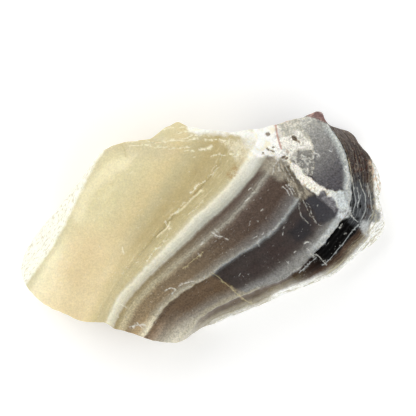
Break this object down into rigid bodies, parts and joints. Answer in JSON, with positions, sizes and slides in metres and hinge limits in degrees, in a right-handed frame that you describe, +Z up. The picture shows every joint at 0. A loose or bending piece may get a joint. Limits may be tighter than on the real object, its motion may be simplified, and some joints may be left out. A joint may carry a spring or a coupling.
{
  "type": "rough agate chunk",
  "caption": "Rough broken chunk of banded agate with ledges, a small druse and a pale rind, lying on a flat broken back.",
  "frame": {"origin": "on the flat broken face that the stone rests on, under the middle of its outline", "axes": "+Z up, out of the banded front; +X along the chunk, from the honey chalcedony to the dark bands and rind; +Y towards the end with the druse"},
  "size_m": [0.0622, 0.0396, 0.02],
  "materials": {
    "agate": "broken chalcedony: waxy to glassy on the breaks, chalky on the rind"
  },
  "bodies": {
    "root": {"agate_chunk": "agate"}
  },
  "joints": []
}
